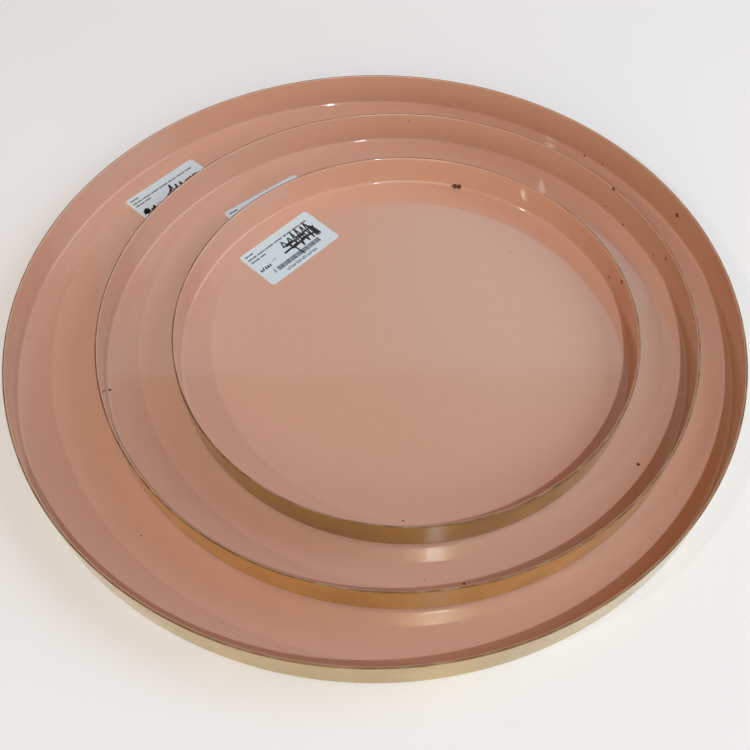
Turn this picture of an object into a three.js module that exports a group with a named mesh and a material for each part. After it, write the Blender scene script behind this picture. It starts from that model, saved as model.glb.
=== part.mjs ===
// A nested set of three round serving trays, pressed from thin steel sheet.
// Each tray is a flat disc with a low, upright wall that ends in a narrow rolled
// bead. The inside is lacquered pink, the outside is gold. The three trays lie
// inside one another, a little off centre, and each floor carries a price label.
//
// Units are millimetres, +Z is up. The origin is the centre of the largest
// tray's underside, and +Y points to the back of the set.

import * as THREE from 'three';

// Sheet and wall, the same for all three trays.
const sheet = 0.8;
const corner_radius = 1;
const bead_radius = 0.7;

// How much wider the wall is at the top than at the floor.
const flare = 0.1;

// Space between one tray's floor and the underside of the tray that lies in it.
const nest_gap = 0.75;

// Price label: rounded rectangle of paper stuck flat on the floor.
const label_length = 51.5;
const label_width = 29;
const label_corner = 2;
const label_thickness = 0.15;
const label_gap = 0.1;

// Facets round a tray, and facets along each rounded part of its profile.
const round_steps = 96;
const corner_steps = 4;
const bead_steps = 8;
const label_corner_steps = 5;

// One entry for each tray, from the largest to the smallest. centre is the tray's
// place on the table. The label's place is polar, about its tray's centre, and turn
// is its angle from the tangent there, in degrees.
const trays = [
  {
    name: 'large',
    rim_radius: 190,
    height: 21.2,
    centre: [0, 0],
    label: { radius: 161.6, bearing: 137.8, turn: -1.8 },
  },
  {
    name: 'medium',
    rim_radius: 155,
    height: 20.4,
    centre: [11.5, -2.5],
    label: { radius: 118.8, bearing: 126.3, turn: 4.7 },
  },
  {
    name: 'small',
    rim_radius: 120,
    height: 19.3,
    centre: [16, -6.9],
    label: { radius: 92.2, bearing: 133.8, turn: 1.6 },
  },
];

const lacquer = new THREE.MeshStandardMaterial({
  color: new THREE.Color('#c39480'),
  roughness: 0.25,
  metalness: 0,
  name: 'tray_lacquer',
});
const paper = new THREE.MeshStandardMaterial({
  color: new THREE.Color('#c8d7de'),
  roughness: 0.6,
  metalness: 0,
  name: 'label_paper',
});

// Points along an arc from one angle to another, in radians, both ends included.
function arcPoints(centre, radius, from, to, steps) {
  const points = [];
  for (let i = 0; i <= steps; i += 1) {
    const angle = from + ((to - from) * i) / steps;
    const offset = new THREE.Vector2(Math.cos(angle), Math.sin(angle));
    points.push(offset.multiplyScalar(radius).add(centre));
  }
  return points;
}

// Half section of a tray, from the middle of its underside, out and up round the
// bead, and back along the inside to the middle of its floor.
function trayProfile(rim_radius, height) {
  const lean = Math.atan2(flare, height - sheet);
  const outward = new THREE.Vector2(Math.cos(lean), -Math.sin(lean));
  const upward = new THREE.Vector2(Math.sin(lean), Math.cos(lean));
  const bead = new THREE.Vector2(rim_radius - bead_radius, height - bead_radius);

  // The wall's inner face touches the bead and the corner's inner arc.
  const corner_height = sheet + corner_radius;
  const inset = bead_radius + corner_radius;
  const run = (bead.y - corner_height - inset * outward.y) / upward.y;
  const corner = bead.clone();
  corner.addScaledVector(outward, -inset);
  corner.addScaledVector(upward, -run);

  // The wall's outer face meets the bead from below.
  const bead_start = -lean - Math.acos((sheet - bead_radius) / bead_radius);
  const bead_end = Math.PI - lean;
  const down = -Math.PI / 2;
  return [
    new THREE.Vector2(0, 0),
    ...arcPoints(corner, corner_radius + sheet, down, -lean, corner_steps),
    ...arcPoints(bead, bead_radius, bead_start, bead_end, bead_steps),
    ...arcPoints(corner, corner_radius, -lean, down, corner_steps),
    new THREE.Vector2(0, sheet),
  ];
}

function trayMesh(tray) {
  const profile = trayProfile(tray.rim_radius, tray.height);
  const geometry = new THREE.LatheGeometry(profile, round_steps);
  geometry.rotateX(Math.PI / 2);
  const mesh = new THREE.Mesh(geometry, lacquer);
  mesh.name = `${tray.name}_tray`;
  return mesh;
}

// Outline of the label, centred on the origin, with its long side along X.
function labelOutline() {
  const points = [];
  for (let i = 0; i < 4; i += 1) {
    const side_x = i === 0 || i === 3 ? 1 : -1;
    const side_y = i < 2 ? 1 : -1;
    const centre = new THREE.Vector2(
      side_x * (label_length / 2 - label_corner),
      side_y * (label_width / 2 - label_corner),
    );
    const start = (i * Math.PI) / 2;
    const end = start + Math.PI / 2;
    points.push(...arcPoints(centre, label_corner, start, end, label_corner_steps));
  }
  return new THREE.Shape(points);
}

function labelMesh(tray) {
  const options = { depth: label_thickness, bevelEnabled: false };
  const geometry = new THREE.ExtrudeGeometry(labelOutline(), options);
  const mesh = new THREE.Mesh(geometry, paper);
  const bearing = THREE.MathUtils.degToRad(tray.label.bearing);
  const tangent = bearing - Math.PI / 2;
  mesh.name = `${tray.name}_label`;
  mesh.position.set(
    tray.label.radius * Math.cos(bearing),
    tray.label.radius * Math.sin(bearing),
    sheet + label_gap,
  );
  mesh.rotation.z = tangent + THREE.MathUtils.degToRad(tray.label.turn);
  return mesh;
}

const tray_set = new THREE.Group();
trays.forEach((tray, level) => {
  const group = new THREE.Group();
  group.position.set(tray.centre[0], tray.centre[1], level * (sheet + nest_gap));
  group.add(trayMesh(tray));
  group.add(labelMesh(tray));
  tray_set.add(group);
});

export default tray_set;
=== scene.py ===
"""Three round serving trays, nested off centre, each with a price label on its floor.

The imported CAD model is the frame. Each tray and each label gets a finely made piece
in its place. Lengths are in metres, +Z is up and +Y points to the back of the set.
"""

import math

import bpy
from mathutils import Matrix, Vector, noise


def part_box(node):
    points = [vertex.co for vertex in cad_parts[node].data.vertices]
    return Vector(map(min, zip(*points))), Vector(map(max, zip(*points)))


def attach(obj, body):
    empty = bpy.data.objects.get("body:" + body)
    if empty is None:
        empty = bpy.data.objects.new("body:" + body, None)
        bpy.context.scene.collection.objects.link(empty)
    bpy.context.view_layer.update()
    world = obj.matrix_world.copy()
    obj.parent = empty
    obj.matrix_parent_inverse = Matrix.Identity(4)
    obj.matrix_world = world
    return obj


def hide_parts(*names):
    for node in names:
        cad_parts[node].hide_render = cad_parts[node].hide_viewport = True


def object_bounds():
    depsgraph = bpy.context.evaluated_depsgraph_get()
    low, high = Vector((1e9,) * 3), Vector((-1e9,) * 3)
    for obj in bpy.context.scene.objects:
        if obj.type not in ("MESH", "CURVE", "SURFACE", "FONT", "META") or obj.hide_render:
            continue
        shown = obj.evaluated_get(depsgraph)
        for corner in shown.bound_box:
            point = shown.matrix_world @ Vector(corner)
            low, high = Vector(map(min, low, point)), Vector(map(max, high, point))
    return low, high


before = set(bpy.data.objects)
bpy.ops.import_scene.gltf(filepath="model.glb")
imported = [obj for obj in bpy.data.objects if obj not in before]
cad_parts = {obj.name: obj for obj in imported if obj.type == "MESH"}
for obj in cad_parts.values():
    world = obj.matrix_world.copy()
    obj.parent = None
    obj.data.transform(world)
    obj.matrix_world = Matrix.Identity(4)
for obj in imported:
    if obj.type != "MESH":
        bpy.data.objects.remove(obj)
cad_low, cad_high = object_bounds()

MM = 0.001

# Section of a tray. Sheet, bead and flare are those of the CAD model. The corners are
# a little rounder, so that they catch the light.
SHEET = 0.8 * MM
INNER_CORNER = 1.6 * MM
OUTER_CORNER = 1.8 * MM
BEAD_RADIUS = 0.7 * MM
FLARE = 0.1 * MM

# Part of the bead that is rubbed bare, as angles round it from its outer side.
BARE_START = math.radians(32)
BARE_END = math.radians(105)

# Fineness of the tray mesh.
ROUND_STEPS = 384
CORNER_STEPS = 10
BEAD_STEPS = 18
WALL_STEPS = 6
FLOOR_RING_SPACING = 8 * MM

# How far the pressed sheet strays from a true shape.
FLOOR_WAVE_HEIGHT = 0.10 * MM
FLOOR_WAVE_LENGTH = 90 * MM
RIM_WAVE = 0.12 * MM

# Material indices of a tray mesh.
INSIDE, OUTSIDE, BEAD = 0, 1, 2

# Labels. The angle is that of the label's long side from +X.
LABEL_LENGTH = 51.5 * MM
LABEL_WIDTH = 29 * MM
LABEL_CORNER = 2 * MM
LABEL_THICKNESS = 0.12 * MM
LABEL_LIFT = 0.02 * MM
LABEL_ANGLES = {"large": 46, "medium": 38.2, "small": 45.4}
LABEL_CORNER_STEPS = 6
LABEL_STRAIGHT_STEPS = 16
LABEL_COLUMNS = 8
INK_THICKNESS = 0.02 * MM

# Angle past which the edges of paper and ink stay sharp.
SHARP_ANGLE = math.radians(40)

# Camera, round the middle of the largest tray's underside.
CAMERA_DISTANCE = 0.530
CAMERA_ELEVATION = 52.37
CAMERA_PITCH = 54.79
CAMERA_ROLL = -0.635
CAMERA_LENS = 47.21
CAMERA_SENSOR = 36

# Room light, as linear colours. The glow is seen mirrored in the floors.
ROOM_COLOUR = (0.235, 0.078, 0.025, 1)
GLOW_COLOUR = (0.20, 0.52, 0.64, 1)
BACKDROP_COLOUR = (0.80, 0.80, 0.80, 1)
GLOW_AZIMUTH = 166
GLOW_ELEVATION = 48
GLOW_RADIUS = 12

# The table reaches this far each way, in metres, and clears the floor's slow waves.
TABLE_REACH = 4.0
TABLE_GAP = 0.1 * MM

TRAYS = ("large", "medium", "small")

# Factor on each tray's gold colour, which makes the medium tray's gold lighter and the small
# tray's darker, and how deep each tray's grain is.
GOLD_TONES = {"large": 1.0, "medium": 1.4, "small": 0.86}
GOLD_GRAINS = {"large": 0.06 * MM, "medium": 0.10 * MM, "small": 0.06 * MM}

# Chips and dark flecks in the lacquer, as (degrees round from the front, distance from
# the tray's axis, height above its underside, radius), the lengths in millimetres.
CHIPS = {
    "large": [
        (136, 188.5, 1.2, 0.8), (132, 188.5, 2.5, 0.6), (165, 188.6, 4, 0.5),
        (113, 188.6, 12, 1.3), (71, 188.5, 1, 0.8), (8, 157, 0.8, 0.4), (-43, 162, 0.8, 0.4),
    ],
    "medium": [
        (55, 142, 0.8, 0.9), (-77, 152, 0.8, 0.8), (4, 141, 0.8, 0.3), (11, 145, 0.8, 0.55),
        (126, 153.6, 4.3, 0.6), (120, 153.6, 2.5, 0.6), (109, 153.6, 6, 0.7),
        (105, 153.6, 14, 0.8), (125, 153.6, 19.8, 1.1),
    ],
    "small": [
        (163.8, 118.3, 1.6, 1.7), (162.6, 118.4, 1.9, 1.5), (-2, 107, 0.8, 0.48),
        (-76, 94, 0.8, 0.33), (108, 118.5, 6.5, 0.8), (102, 118.6, 16.5, 1.1),
    ],
}


# ---------------------------------------------------------------- tray meshes


def arc(centre, radius, start, end, steps):
    """Points along an arc in the section plane, both ends included."""
    points = []
    for i in range(steps + 1):
        angle = start + (end - start) * i / steps
        points.append(centre + radius * Vector((math.cos(angle), math.sin(angle))))
    return points


def line(start, end, steps):
    """Points between two others, both left out."""
    return [start.lerp(end, i / steps) for i in range(1, steps)]


def tray_section(rim_radius, height):
    """Section from the middle of the underside round the bead to the middle of the
    floor, as (point, material) pairs. The material is that of the band after it."""
    lean = math.atan2(FLARE, height - SHEET)
    outward = Vector((math.cos(lean), -math.sin(lean)))
    upward = Vector((math.sin(lean), math.cos(lean)))
    bead = Vector((rim_radius - BEAD_RADIUS, height - BEAD_RADIUS))
    inset = BEAD_RADIUS + INNER_CORNER
    run = (bead.y - SHEET - INNER_CORNER - inset * outward.y) / upward.y
    corner = bead - inset * outward - run * upward
    foot = Vector((corner.x + INNER_CORNER + SHEET - OUTER_CORNER, OUTER_CORNER))
    bead_start = -lean - math.acos((SHEET - BEAD_RADIUS) / BEAD_RADIUS)
    down = -math.pi / 2

    rings = max(2, round(corner.x / FLOOR_RING_SPACING))
    outer_corner = arc(foot, OUTER_CORNER, down, -lean, CORNER_STEPS)
    bead_arc = arc(bead, BEAD_RADIUS, bead_start, math.pi - lean, BEAD_STEPS)
    inner_corner = arc(corner, INNER_CORNER, -lean, down, CORNER_STEPS)
    under = [Vector((corner.x * i / rings, 0)) for i in range(1, rings)]
    floor = [Vector((corner.x * i / rings, SHEET)) for i in range(rings - 1, 0, -1)]

    outside = under + outer_corner + line(outer_corner[-1], bead_arc[0], WALL_STEPS)
    inside = line(bead_arc[-1], inner_corner[0], WALL_STEPS) + inner_corner + floor
    crease = len(outside)
    section = [(point, OUTSIDE) for point in outside]
    for i, point in enumerate(bead_arc):
        angle = bead_start + (math.pi - lean - bead_start) * i / BEAD_STEPS
        kind = OUTSIDE if angle < BARE_START else BEAD if angle < BARE_END else INSIDE
        section.append((point, kind))
    section += [(point, INSIDE) for point in inside]
    return section, crease


def floor_wave(x, y):
    """Height of the pressed sheet's slow waves at a place on a floor."""
    place = Vector((x, y, 0)) / FLOOR_WAVE_LENGTH
    return FLOOR_WAVE_HEIGHT * noise.noise(place)


def strayed(point, angle, centre, base, rim_radius, height):
    """A point of the section turned to its angle, with the sheet's small errors."""
    rise = point.y / height
    out = Vector((math.cos(angle), math.sin(angle), 0))
    ripple = noise.noise(Vector((out.x * 2.5, out.y * 2.5, rim_radius * 40)))
    radius = point.x + RIM_WAVE * ripple * rise
    place = centre + radius * out
    flat = max(0.0, 1 - rise * 4)
    wave = floor_wave(place.x, place.y) * flat + RIM_WAVE * ripple * rise * 0.5
    return Vector((place.x, place.y, base + point.y + wave))


def tray_piece(tray):
    """One pressed tray, as a closed mesh with its three finishes."""
    node = f"{tray}_tray"
    low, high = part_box(node)
    centre = Vector(((low.x + high.x) / 2, (low.y + high.y) / 2, 0))
    rim_radius = (high.x - low.x) / 2
    height = high.z - low.z
    section, crease = tray_section(rim_radius, height)
    turns = [2 * math.pi * i / ROUND_STEPS for i in range(ROUND_STEPS)]

    vertices = []
    for point, _ in section:
        for angle in turns:
            vertices.append(strayed(point, angle, centre, low.z, rim_radius, height))
    under_middle = len(vertices)
    vertices.append(centre + Vector((0, 0, low.z + floor_wave(centre.x, centre.y))))
    vertices.append(vertices[under_middle] + Vector((0, 0, SHEET)))

    faces = []
    materials = []
    last = len(section) - 1
    for i in range(ROUND_STEPS):
        after = (i + 1) % ROUND_STEPS
        faces.append((under_middle, after, i))
        materials.append(OUTSIDE)
        for ring in range(last):
            below = ring * ROUND_STEPS
            above = below + ROUND_STEPS
            faces.append((below + i, below + after, above + after, above + i))
            materials.append(section[ring][1])
        ring = last * ROUND_STEPS
        faces.append((under_middle + 1, ring + i, ring + after))
        materials.append(INSIDE)

    piece = mesh_piece(f"{tray}_tray_sheet", vertices, faces, tray)
    piece.data.materials.append(lacquer_material(tray))
    piece.data.materials.append(gold_material(tray))
    piece.data.materials.append(bead_material(tray))
    piece.data.polygons.foreach_set("material_index", materials)
    mark_sharp_ring(piece.data, crease)
    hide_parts(node)
    return piece


def mark_sharp_ring(mesh, ring):
    """Keeps the crease sharp where the outer wall runs into the bead."""
    first = ring * ROUND_STEPS
    crease = range(first, first + ROUND_STEPS)
    for edge in mesh.edges:
        if edge.vertices[0] in crease and edge.vertices[1] in crease:
            edge.use_edge_sharp = True


def mesh_piece(name, vertices, faces, body):
    """A smooth-shaded mesh object that rides on a body of the frame."""
    mesh = bpy.data.meshes.new(name)
    mesh.from_pydata(vertices, [], faces)
    mesh.validate()
    mesh.shade_smooth()
    piece = bpy.data.objects.new(name, mesh)
    bpy.context.scene.collection.objects.link(piece)
    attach(piece, body)
    return piece


# -------------------------------------------------------------------- labels


def label_places(tray):
    """Function from a place on the label to a point on the tray's floor. x runs along
    the label from its left end, y up from its lower side, z up from the paper's top."""
    low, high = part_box(f"{tray}_label")
    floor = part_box(f"{tray}_tray")[0].z + SHEET
    middle = (low + high) / 2
    angle = math.radians(LABEL_ANGLES[tray])
    along = Vector((math.cos(angle), math.sin(angle), 0))
    across = Vector((-math.sin(angle), math.cos(angle), 0))
    top = floor + LABEL_LIFT + LABEL_THICKNESS

    def place(x, y, z):
        flat = along * (x - LABEL_LENGTH / 2) + across * (y - LABEL_WIDTH / 2)
        wave = floor_wave(middle.x + flat.x, middle.y + flat.y)
        return Vector((middle.x + flat.x, middle.y + flat.y, top + wave + z))

    return place


def label_piece(tray, place):
    """The paper: a thin closed slab with rounded corners."""
    corner = []
    for i in range(LABEL_CORNER_STEPS + 1):
        turn = math.pi / 2 * i / LABEL_CORNER_STEPS
        corner.append(LABEL_CORNER * (1 - math.cos(turn)))
    span = LABEL_LENGTH - 2 * LABEL_CORNER
    steps = LABEL_STRAIGHT_STEPS
    stations = corner + [LABEL_CORNER + span * i / steps for i in range(1, steps)]
    stations += [LABEL_LENGTH - x for x in reversed(corner)]
    columns = LABEL_COLUMNS
    vertices = []
    for z in (0.0, -LABEL_THICKNESS):
        for x in stations:
            end = min(x, LABEL_LENGTH - x, LABEL_CORNER)
            inset = LABEL_CORNER - math.sqrt(
                max(0.0, LABEL_CORNER**2 - (LABEL_CORNER - end) ** 2)
            )
            for j in range(columns + 1):
                y = inset + (LABEL_WIDTH - 2 * inset) * j / columns
                vertices.append(place(x, y, z))
    row = columns + 1
    layer = row * len(stations)
    faces = []
    for i in range(len(stations) - 1):
        for j in range(columns):
            a = i * row + j
            faces.append((a, a + row, a + row + 1, a + 1))
            faces.append((layer + a, layer + a + 1, layer + a + row + 1, layer + a + row))
        a = i * row
        b = a + columns
        faces.append((a, layer + a, layer + a + row, a + row))
        faces.append((b, b + row, layer + b + row, layer + b))
    for j in range(columns):
        a = (len(stations) - 1) * row + j
        faces.append((j, j + 1, layer + j + 1, layer + j))
        faces.append((a, layer + a, layer + a + 1, a + 1))
    piece = mesh_piece(f"{tray}_label_paper", vertices, faces, tray)
    piece.data.set_sharp_from_angle(angle=SHARP_ANGLE)
    piece.data.materials.append(paper_material())
    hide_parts(f"{tray}_label")
    return piece


def ribbons_piece(name, ribbons, place, material, body):
    """Ink on the label: closed flat ribbons, each a list of (x, y) points and a width."""
    vertices = []
    faces = []
    for points, width in ribbons:
        start = len(vertices)
        count = len(points)
        for i, point in enumerate(points):
            before = Vector(points[max(i - 1, 0)])
            after = Vector(points[min(i + 1, count - 1)])
            side = (after - before).orthogonal().normalized() * width / 2
            for z in (0.0, INK_THICKNESS):
                for sign in (-1, 1):
                    edge = Vector(point) + sign * side
                    vertices.append(place(edge.x, edge.y, z))
        for i in range(count - 1):
            a = start + 4 * i
            b = a + 4
            faces.append((a + 2, a + 3, b + 3, b + 2))
            faces.append((a, b, b + 1, a + 1))
            faces.append((a, a + 2, b + 2, b))
            faces.append((a + 1, b + 1, b + 3, a + 3))
        a = start
        b = start + 4 * (count - 1)
        faces.append((a, a + 1, a + 3, a + 2))
        faces.append((b, b + 2, b + 3, b + 1))
    piece = mesh_piece(name, vertices, faces, body)
    piece.data.set_sharp_from_angle(angle=SHARP_ANGLE)
    piece.data.materials.append(material)
    return piece


def dash_row(x_start, x_end, y, height, dash, gap):
    """A row of short dashes that stands for a line of small print."""
    ribbons = []
    x = x_start
    step = 0
    while x < x_end:
        length = dash * (0.6 + 0.8 * ((step * 5) % 7) / 7)
        points = [(x, y), (min(x + length, x_end), y)]
        ribbons.append((points, height * (0.7 + 0.3 * ((step * 3) % 4) / 3)))
        wide = 4 if step % 7 == 6 else 1
        x += length + gap * wide
        step += 1
    return ribbons


def tick_row(x_start, x_end, y, height, pitch, width, slant):
    """A row of upright or leaning ticks, each with a short foot or none."""
    ribbons = []
    steps = int((x_end - x_start) / pitch)
    for i in range(steps):
        x = x_start + i * pitch
        top = height * (0.7 + 0.3 * ((i * 3) % 4) / 3)
        ribbons.append(([(x, y), (x + slant * top, y + top)], width))
        if i % 3 != 1:
            ribbons.append(([(x, y + width / 2), (x + pitch * 0.8, y + width / 2)], width))
    return ribbons


def bar_row(x_start, x_end, y, height, pitch):
    """A row of plain upright bars with no meaning."""
    ribbons = []
    steps = int((x_end - x_start) / pitch)
    for i in range(steps):
        x = x_start + i * pitch
        width = pitch * (0.48 + 0.35 * ((i * 3) % 5) / 4)
        ribbons.append(([(x, y), (x, y + height)], width))
    return ribbons


def label_print():
    """Plain rows and bars where a price label carries its print."""
    length, width = LABEL_LENGTH, LABEL_WIDTH
    small, gap = 1.15 * MM, 0.20 * MM
    ribbons = dash_row(0.04 * length, 0.16 * length, 0.90 * width, small, 0.7 * MM, gap)
    ribbons += dash_row(0.04 * length, 0.90 * length, 0.80 * width, small, 0.7 * MM, gap)
    ribbons += dash_row(0.04 * length, 0.25 * length, 0.71 * width, small, 0.7 * MM, gap)
    ribbons += tick_row(
        0.04 * length, 0.22 * length, 0.40 * width, 2.4 * MM, 1.7 * MM, 0.80 * MM, 0.35
    )
    ribbons.append(([(0.23 * length, 0.47 * width), (0.29 * length, 0.49 * width)], 0.3 * MM))
    ribbons += bar_row(0.15 * length, 0.17 * length, 0.19 * width, 3.2 * MM, 0.5 * MM)
    ribbons += bar_row(0.20 * length, 0.84 * length, 0.19 * width, 3.2 * MM, 0.95 * MM)
    ribbons += tick_row(
        0.27 * length, 0.73 * length, 0.075 * width, 2.1 * MM, 1.35 * MM, 0.46 * MM, 0.05
    )
    return ribbons


def looped_scribble():
    """Marker loops over the label's right half, crossed by broad strokes."""
    length, width = LABEL_LENGTH, LABEL_WIDTH
    turns = [
        (0.45, 0.56), (0.48, 0.73), (0.53, 0.46), (0.54, 0.58), (0.575, 0.72),
        (0.61, 0.45), (0.62, 0.60), (0.65, 0.81), (0.64, 0.30), (0.69, 0.60),
        (0.715, 0.82), (0.73, 0.32), (0.76, 0.60), (0.79, 0.78), (0.80, 0.31),
        (0.82, 0.60), (0.845, 0.82), (0.87, 0.32),
    ]
    ribbons = [(rounded_path([(length * x, width * y) for x, y in turns]), 0.85 * MM)]
    dense = []
    for i in range(7):
        x = length * (0.845 + 0.008 * i)
        dense.append((x, width * (0.78 - 0.035 * i if i % 2 else 0.34)))
    ribbons.append((rounded_path(dense), 1.1 * MM))
    upper = [
        (0.44, 0.575), (0.60, 0.60), (0.46, 0.55), (0.78, 0.56), (0.62, 0.61), (0.91, 0.59),
    ]
    lower = [
        (0.40, 0.445), (0.62, 0.475), (0.50, 0.43), (0.80, 0.47), (0.66, 0.50), (0.85, 0.44),
    ]
    for stroke, breadth in ((upper, 1.0 * MM), (lower, 1.35 * MM)):
        points = [(length * x, width * y) for x, y in stroke]
        ribbons.append((rounded_path(points), breadth))
    drop = [(0.545, 0.45), (0.55, 0.30), (0.565, 0.17)]
    ribbons.append(([(length * x, width * y) for x, y in drop], 1.0 * MM))
    return ribbons


def spiked_scribble():
    """Marker spikes over the label's right half, and a blot at its lower left."""
    length, width = LABEL_LENGTH, LABEL_WIDTH
    spikes = [
        (0.38, 0.46), (0.45, 0.54), (0.41, 0.44), (0.50, 0.62), (0.47, 0.42),
        (0.53, 0.76), (0.52, 0.40), (0.56, 0.58), (0.55, 0.42), (0.59, 0.67),
        (0.58, 0.42), (0.62, 0.56), (0.61, 0.40), (0.65, 0.66), (0.66, 0.42),
        (0.70, 0.50), (0.72, 0.59), (0.76, 0.57), (0.79, 0.60), (0.81, 0.57),
        (0.85, 0.60), (0.90, 0.58),
    ]
    ribbons = [(rounded_path([(length * x, width * y) for x, y in spikes]), 1.0 * MM)]
    blot = []
    for i in range(15):
        angle = math.radians(200 * i)
        reach = 1.9 * MM * (0.75 + 0.35 * ((i * 5) % 7) / 6)
        x = 0.088 * length + reach * math.cos(angle)
        blot.append((x, 0.46 * width + 1.25 * reach * math.sin(angle)))
    ribbons.append((rounded_path(blot), 1.5 * MM))
    wedge = [(0.15, 0.41), (0.20, 0.50), (0.20, 0.42), (0.17, 0.43), (0.205, 0.46)]
    ribbons.append((rounded_path([(length * x, width * y) for x, y in wedge]), 0.9 * MM))
    under = [(0.10, 0.30), (0.30, 0.36), (0.24, 0.24), (0.52, 0.34), (0.48, 0.22), (0.80, 0.30)]
    ribbons.append((rounded_path([(length * x, width * y) for x, y in under]), 1.1 * MM))
    return ribbons


def rounded_path(points):
    """The path with each turn cut round, so that a ribbon keeps its width there."""
    path = [points[0]]
    for before, corner, after in zip(points, points[1:], points[2:]):
        a, b, c = Vector(before), Vector(corner), Vector(after)
        first = b.lerp(a, 0.16)
        last = b.lerp(c, 0.16)
        for i in range(5):
            t = i / 4
            bend = first.lerp(b, t).lerp(b.lerp(last, t), t)
            path.append((bend.x, bend.y))
    path.append(points[-1])
    return path


# ------------------------------------------------------------------ materials


def new_material(name):
    """A material, its node tree and its surface shader."""
    material = bpy.data.materials.new(name)
    material.use_nodes = True
    tree = material.node_tree
    return material, tree, tree.nodes["Principled BSDF"]


def add(tree, kind, inputs=None, **settings):
    """A node with its settings, and its inputs set to values or joined to sockets."""
    node = tree.nodes.new(kind)
    for name, value in settings.items():
        setattr(node, name, value)
    for key, value in (inputs or {}).items():
        if isinstance(value, bpy.types.NodeSocket):
            tree.links.new(value, node.inputs[key])
        else:
            node.inputs[key].default_value = value
    return node


def places(tree, offset):
    """Coordinates on the piece in metres, shifted so that no two trays match."""
    coordinates = add(tree, "ShaderNodeTexCoord").outputs["Object"]
    shift = add(tree, "ShaderNodeVectorMath", {0: coordinates, 1: offset})
    return shift.outputs[0]


def cloud(tree, place, scale, detail=3.0, roughness=0.5):
    """Noise between about 0.3 and 0.7."""
    inputs = {"Vector": place, "Scale": scale, "Detail": detail, "Roughness": roughness}
    return add(tree, "ShaderNodeTexNoise", inputs).outputs["Fac"]


def remap(tree, value, low, high, to_low, to_high, kind="LINEAR"):
    """A value carried from one range to another, and held there."""
    inputs = {0: value, 1: low, 2: high, 3: to_low, 4: to_high}
    return add(tree, "ShaderNodeMapRange", inputs, interpolation_type=kind).outputs[0]


def blend_colours(tree, factor, first, second, kind="MIX"):
    inputs = {"Factor": factor, "A": first, "B": second}
    node = add(tree, "ShaderNodeMix", data_type="RGBA", blend_type=kind)
    for socket, key in ((0, "Factor"), (6, "A"), (7, "B")):
        value = inputs[key]
        if isinstance(value, bpy.types.NodeSocket):
            tree.links.new(value, node.inputs[socket])
        else:
            node.inputs[socket].default_value = value
    return node.outputs[2]


def calculate(tree, operation, first, second=0.0):
    node = add(tree, "ShaderNodeMath", {0: first, 1: second}, operation=operation)
    return node.outputs[0]


def bump(tree, height, distance, strength=1.0, normal=None):
    inputs = {"Height": height, "Distance": distance, "Strength": strength}
    if normal is not None:
        inputs["Normal"] = normal
    return add(tree, "ShaderNodeBump", inputs).outputs["Normal"]


def speckles(tree, place, cell, size, share):
    """Mask of scattered round spots. cell is their spacing and size their radius, in
    metres, and share is the part of the cells that hold one."""
    inputs = {"Vector": place, "Scale": 1 / cell, "Randomness": 1.0}
    cells = add(tree, "ShaderNodeTexVoronoi", inputs)
    chance = add(tree, "ShaderNodeSeparateColor", {0: cells.outputs["Color"]})
    kept = calculate(tree, "LESS_THAN", chance.outputs[0], share)
    reach = remap(tree, chance.outputs[1], 0, 1, size / cell * 0.4, size / cell)
    near = calculate(tree, "LESS_THAN", cells.outputs["Distance"], reach)
    return calculate(tree, "MULTIPLY", kept, near)


def chip_mask(tree, tray, spread):
    """Mask of the tray's chips, each with a ragged edge, grown by a factor."""
    low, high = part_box(f"{tray}_tray")
    coordinates = add(tree, "ShaderNodeTexCoord").outputs["Object"]
    ragged = remap(tree, cloud(tree, coordinates, 1100, 2.0), 0.3, 0.7, 0.55, 1.35)
    mask = None
    for bearing, radius, height, size in CHIPS[tray]:
        angle = math.radians(bearing)
        centre = (
            (low.x + high.x) / 2 + radius * MM * math.sin(angle),
            (low.y + high.y) / 2 - radius * MM * math.cos(angle),
            low.z + height * MM,
        )
        ends = {0: coordinates, 1: centre}
        away = add(tree, "ShaderNodeVectorMath", ends, operation="DISTANCE")
        reach = calculate(tree, "MULTIPLY", ragged, size * spread * MM)
        inside = calculate(tree, "LESS_THAN", away.outputs["Value"], reach)
        mask = inside if mask is None else calculate(tree, "MAXIMUM", mask, inside)
    return mask


def offset_of(tray):
    return (0.0, 0.0, 0.37 * TRAYS.index(tray))


def lacquer_material(tray):
    """Glossy pink lacquer with orange peel, faint clouds, specks and chips."""
    material, tree, surface = new_material(f"{tray}_pink_lacquer")
    place = places(tree, offset_of(tray))
    tone = remap(tree, cloud(tree, place, 9), 0.3, 0.7, 0, 1)
    colour = blend_colours(tree, tone, (0.75, 0.42, 0.293, 1), (0.765, 0.43, 0.303, 1))
    fine = remap(tree, cloud(tree, place, 160), 0.35, 0.65, 0.99, 1.01)
    colour = blend_colours(tree, 1.0, colour, grey(tree, fine), "MULTIPLY")
    specks = speckles(tree, place, 11 * MM, 0.4 * MM, 0.10)
    colour = blend_colours(tree, specks, colour, (0.05, 0.018, 0.010, 1))
    chips = chip_mask(tree, tray, 1.0)
    colour = blend_colours(tree, chips, colour, (0.10, 0.042, 0.020, 1))
    tree.links.new(colour, surface.inputs["Base Color"])
    smear = remap(tree, cloud(tree, place, 30), 0.35, 0.65, 0.45, 0.60)
    tree.links.new(smear, surface.inputs["Roughness"])
    peel = cloud(tree, place, 420, 1.0)
    normal = bump(tree, peel, 0.05 * MM, 0.35)
    normal = bump(tree, specks, 0.1 * MM, -0.5, normal)
    normal = bump(tree, chips, 0.15 * MM, -0.6, normal)
    tree.links.new(normal, surface.inputs["Normal"])
    surface.inputs["Specular IOR Level"].default_value = 0.15
    surface.inputs["Coat Weight"].default_value = 1.0
    surface.inputs["Coat Roughness"].default_value = 0.05
    surface.inputs["Coat IOR"].default_value = 1.62
    tree.links.new(normal, surface.inputs["Coat Normal"])
    return material


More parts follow.
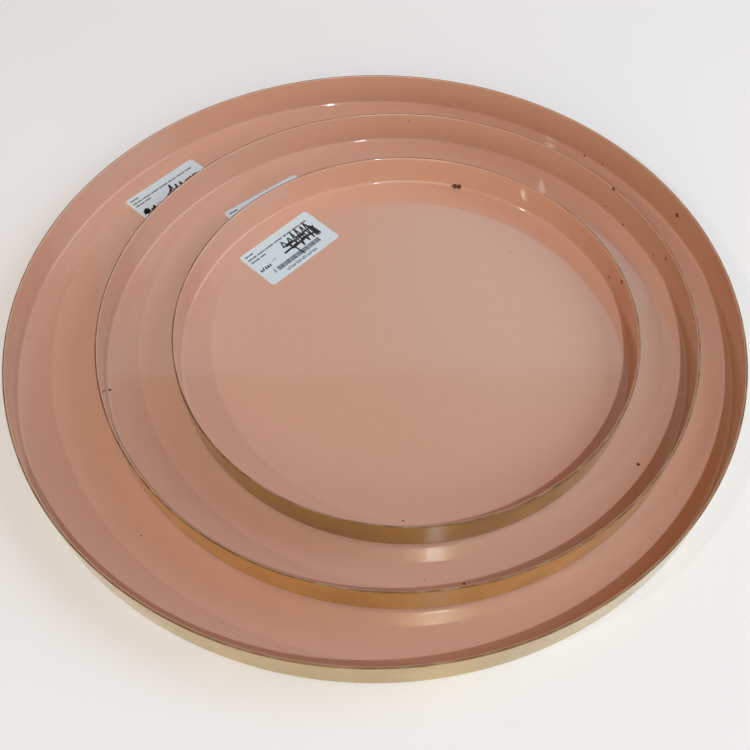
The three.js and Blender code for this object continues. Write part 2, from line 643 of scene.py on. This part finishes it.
def grey(tree, value):
    return add(tree, "ShaderNodeCombineColor", {0: value, 1: value, 2: value}).outputs[0]


def gold_material(tray):
    """Satin gold under a clear gloss, with a fine grain, a fleck and darker scuffs."""
    material, tree, surface = new_material(f"{tray}_gold_lacquer")
    place = places(tree, offset_of(tray))
    tone = remap(tree, cloud(tree, place, 40, 4.0), 0.35, 0.65, 0, 1)
    colour = blend_colours(tree, tone, (0.42, 0.26, 0.035, 1), (0.54, 0.35, 0.055, 1))
    fleck = remap(tree, cloud(tree, place, 1500, 1.0), 0.4, 0.7, 0.92, 1.10)
    fleck = calculate(tree, "MULTIPLY", fleck, GOLD_TONES[tray])
    colour = blend_colours(tree, 1.0, colour, grey(tree, fleck), "MULTIPLY")
    specks = speckles(tree, place, 7 * MM, 0.4 * MM, 0.15)
    colour = blend_colours(tree, specks, colour, (0.05, 0.03, 0.015, 1))
    tree.links.new(colour, surface.inputs["Base Color"])
    surface.inputs["Metallic"].default_value = 0.75
    rough = remap(tree, cloud(tree, place, 70), 0.35, 0.65, 0.32, 0.40)
    tree.links.new(rough, surface.inputs["Roughness"])
    surface.inputs["Coat Weight"].default_value = 1.0
    surface.inputs["Coat Roughness"].default_value = 0.13
    normal = bump(tree, cloud(tree, place, 1400, 2.0), GOLD_GRAINS[tray], 0.8)
    tree.links.new(normal, surface.inputs["Normal"])
    tree.links.new(normal, surface.inputs["Coat Normal"])
    return material


def bead_material(tray):
    """Rolled rim with its lacquer rubbed thin: dull brown, with paler worn stretches."""
    material, tree, surface = new_material(f"{tray}_bare_rim")
    place = places(tree, offset_of(tray))
    wear = remap(tree, cloud(tree, place, 120, 4.0), 0.4, 0.62, 0, 1)
    colour = blend_colours(tree, wear, (0.23, 0.12, 0.06, 1), (0.37, 0.24, 0.14, 1))
    stain = remap(tree, cloud(tree, place, 35, 2.0), 0.55, 0.7, 0, 0.8)
    colour = blend_colours(tree, stain, colour, (0.16, 0.09, 0.05, 1))
    tree.links.new(colour, surface.inputs["Base Color"])
    surface.inputs["Specular IOR Level"].default_value = 0.1
    rough = remap(tree, wear, 0, 1, 0.65, 0.5)
    tree.links.new(rough, surface.inputs["Roughness"])
    normal = bump(tree, cloud(tree, place, 900, 3.0), 0.03 * MM, 0.7)
    tree.links.new(normal, surface.inputs["Normal"])
    return material


def paper_material():
    """Coated label paper, cool white, with faint fibres."""
    material, tree, surface = new_material("label_paper")
    place = places(tree, (0.0, 0.0, 0.0))
    fibre = remap(tree, cloud(tree, place, 1800, 4.0), 0.3, 0.7, 0, 1)
    colour = blend_colours(tree, fibre, (0.74, 0.86, 0.91, 1), (0.78, 0.88, 0.92, 1))
    tree.links.new(colour, surface.inputs["Base Color"])
    surface.inputs["Roughness"].default_value = 0.45
    normal = bump(tree, fibre, 0.02 * MM, 0.5)
    tree.links.new(normal, surface.inputs["Normal"])
    return material


def ink_material(name, dark, light, roughness):
    """Ink that lies unevenly on the paper."""
    material, tree, surface = new_material(name)
    place = places(tree, (0.0, 0.0, 0.0))
    body = remap(tree, cloud(tree, place, 900, 3.0), 0.4, 0.65, 0, 1)
    tree.links.new(blend_colours(tree, body, dark, light), surface.inputs["Base Color"])
    surface.inputs["Roughness"].default_value = roughness
    return material


def table_material():
    """Pale matt table top."""
    material, tree, surface = new_material("pale_floor")
    place = places(tree, (0.0, 0.0, 0.0))
    tone = remap(tree, cloud(tree, place, 4), 0.3, 0.7, 0, 1)
    colour = blend_colours(tree, tone, (0.96, 0.93, 0.90, 1), (0.98, 0.95, 0.92, 1))
    tree.links.new(colour, surface.inputs["Base Color"])
    surface.inputs["Roughness"].default_value = 0.9
    surface.inputs["Emission Color"].default_value = (1.0, 0.98, 0.95, 1)
    surface.inputs["Emission Strength"].default_value = 0.12
    return material


# --------------------------------------------------------------------- stage


def add_camera():
    """The camera, tilted and rolled as a hand-held one is."""
    elevation = math.radians(CAMERA_ELEVATION)
    pitch = math.radians(CAMERA_PITCH)
    roll = math.radians(CAMERA_ROLL)
    ahead = Vector((0, math.cos(pitch), -math.sin(pitch)))
    right = Vector((1, 0, 0))
    up = right.cross(ahead)
    turned_right = math.cos(roll) * right + math.sin(roll) * up
    turned_up = math.cos(roll) * up - math.sin(roll) * right
    data = bpy.data.cameras.new("camera")
    data.lens = CAMERA_LENS
    data.sensor_width = CAMERA_SENSOR
    camera = bpy.data.objects.new("camera", data)
    bpy.context.scene.collection.objects.link(camera)
    axes = Matrix((turned_right, turned_up, -ahead)).transposed().to_4x4()
    place = CAMERA_DISTANCE * Vector((0, -math.cos(elevation), math.sin(elevation)))
    camera.matrix_world = Matrix.Translation(place) @ axes
    bpy.context.scene.camera = camera


def add_lamp(name, azimuth, elevation, distance, size, watts, colour, aim=(0, 0, 0)):
    """A square soft lamp. Azimuth 0 is in front of the set, 90 to its right."""
    data = bpy.data.lights.new(name, "AREA")
    data.energy = watts
    data.color = colour
    data.size = size
    lamp = bpy.data.objects.new(name, data)
    bpy.context.scene.collection.objects.link(lamp)
    a, e = math.radians(azimuth), math.radians(elevation)
    back = Vector((math.sin(a) * math.cos(e), -math.cos(a) * math.cos(e), math.sin(e)))
    lamp.location = Vector(aim) + back * distance
    lamp.rotation_euler = back.to_track_quat("Z", "Y").to_euler()


def add_stage():
    """The table, the room and the lamps. The two small lamps cast the clear shadows."""
    reach = TABLE_REACH
    corners = [(-reach, -reach), (reach, -reach), (reach, reach), (-reach, reach)]
    mesh = bpy.data.meshes.new("pale_floor")
    level = cad_low.z - TABLE_GAP
    mesh.from_pydata([(x, y, level) for x, y in corners], [], [(0, 1, 2, 3)])
    mesh.materials.append(table_material())
    floor = bpy.data.objects.new("pale_floor", mesh)
    bpy.context.scene.collection.objects.link(floor)
    bpy.context.scene.world = soft_room()
    bpy.context.scene.view_settings.view_transform = "Standard"
    add_lamp("key_right", 16.7, 60.8, 4.0, 0.09, 57, (0.69, 0.85, 1.0))
    add_lamp("low_left", -62.3, 45.1, 4.0, 0.10, 13.5, (0.86, 1.0, 0.76))
    add_lamp("soft_right", 95, 35, 2.2, 1.6, 22.5, (0.57, 0.82, 1.0))
    add_lamp("soft_front", -5, 22, 2.2, 1.2, 13, (0.89, 1.0, 0.84))
    add_lamp("soft_back", 180, 35, 1.6, 1.2, 2, (0.40, 0.88, 1.0))


def soft_room():
    """Even light from all round, with a soft cool glow high up behind the set."""
    world = bpy.data.worlds.new("soft_room")
    world.use_nodes = True
    tree = world.node_tree
    direction = add(tree, "ShaderNodeTexCoord").outputs["Generated"]
    azimuth, elevation = math.radians(GLOW_AZIMUTH), math.radians(GLOW_ELEVATION)
    flat = math.cos(elevation)
    middle = (math.sin(azimuth) * flat, -math.cos(azimuth) * flat, math.sin(elevation))
    ends = {0: direction, 1: middle}
    nearness = add(tree, "ShaderNodeVectorMath", ends, operation="DOT_PRODUCT")
    edge = math.cos(math.radians(GLOW_RADIUS))
    glow = remap(tree, nearness.outputs["Value"], edge, 1, 0, 1, "SMOOTHSTEP")
    colour = blend_colours(tree, glow, ROOM_COLOUR, GLOW_COLOUR)
    seen = add(tree, "ShaderNodeLightPath").outputs["Is Camera Ray"]
    colour = blend_colours(tree, seen, colour, BACKDROP_COLOUR)
    background = tree.nodes["Background"]
    tree.links.new(colour, background.inputs["Color"])
    return world


# ---------------------------------------------------------------------- build

add_camera()
add_stage()
print_ink = ink_material("print_ink", (0.02, 0.025, 0.04, 1), (0.07, 0.08, 0.11, 1), 0.6)
marker_ink = ink_material("marker_ink", (0.012, 0.010, 0.016, 1), (0.05, 0.04, 0.06, 1), 0.4)
for tray in TRAYS:
    tray_piece(tray)
    place = label_places(tray)
    label_piece(tray, place)
    ribbons_piece(f"{tray}_label_print", label_print(), place, print_ink, tray)
    scribble = spiked_scribble() if tray == "large" else looped_scribble()
    ribbons_piece(f"{tray}_label_scribble", scribble, place, marker_ink, tray)
